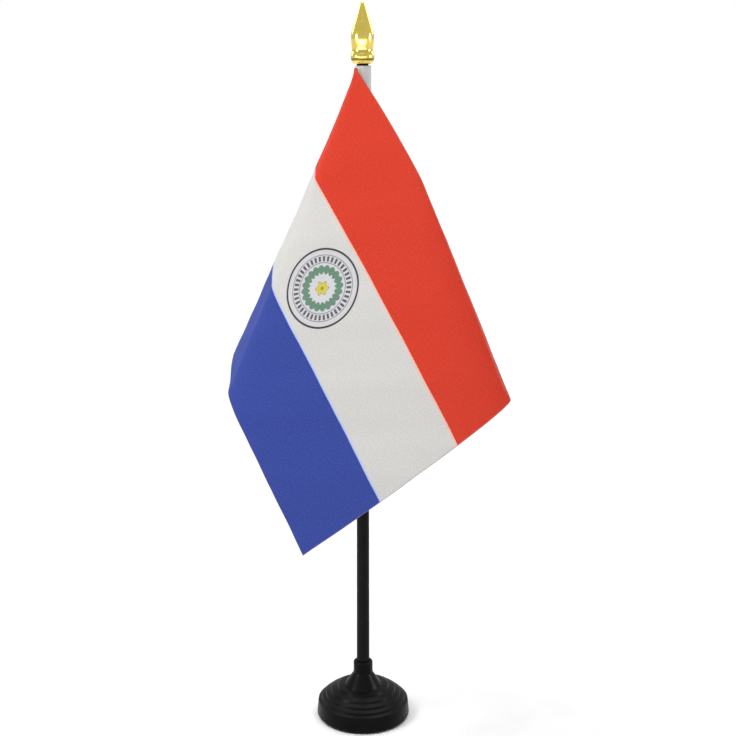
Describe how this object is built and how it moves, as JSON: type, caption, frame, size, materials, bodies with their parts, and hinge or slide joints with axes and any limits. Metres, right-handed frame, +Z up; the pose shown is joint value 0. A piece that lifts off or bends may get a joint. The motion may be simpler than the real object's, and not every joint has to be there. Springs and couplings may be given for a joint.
{
  "type": "desk flag stand",
  "caption": "Small table flag: a stepped round base holds a slim tapered pole with a spear finial and a draped cloth flag.",
  "frame": {"origin": "on the table, at the middle of the flat underside, on the pole's axis", "axes": "+Z up along the pole; -Y is the front, where the flag's right side is seen; +X to the right"},
  "size_m": [0.0937, 0.1085, 0.2691],
  "materials": {
    "base_plastic": "satin black moulding",
    "weight_steel": "plain plated steel, hidden",
    "pad_foam": "closed-cell foam, matt",
    "pole_plastic": "satin black",
    "finial_gold": "gold-plated, glossy",
    "sleeve_cloth": "white woven polyester",
    "flag_cloth": "red, white and blue printed polyester",
    "thread": "white polyester thread"
  },
  "bodies": {
    "base": {"base_shell": "base_plastic", "base_weight": "weight_steel", "base_pad": "pad_foam"},
    "pole": {"pole": "pole_plastic"},
    "finial": {"finial": "finial_gold"},
    "flag": {"hoist_sleeve": "sleeve_cloth", "flag_cloth": "flag_cloth", "hoist_stitching": "thread"}
  },
  "joints": [
    {"name": "pole_lift", "type": "slide", "parent": "base", "child": "pole", "axis": [0, 0, 1], "range_m": [0, 0.02]},
    {"name": "finial_pull", "type": "slide", "parent": "pole", "child": "finial", "axis": [0, 0, 1], "range_m": [0, 0.01]},
    {"name": "flag_swivel", "type": "hinge", "parent": "pole", "child": "flag", "pos_m": [0, 0, 0.2], "axis": [0, 0, 1], "continuous": true}
  ]
}
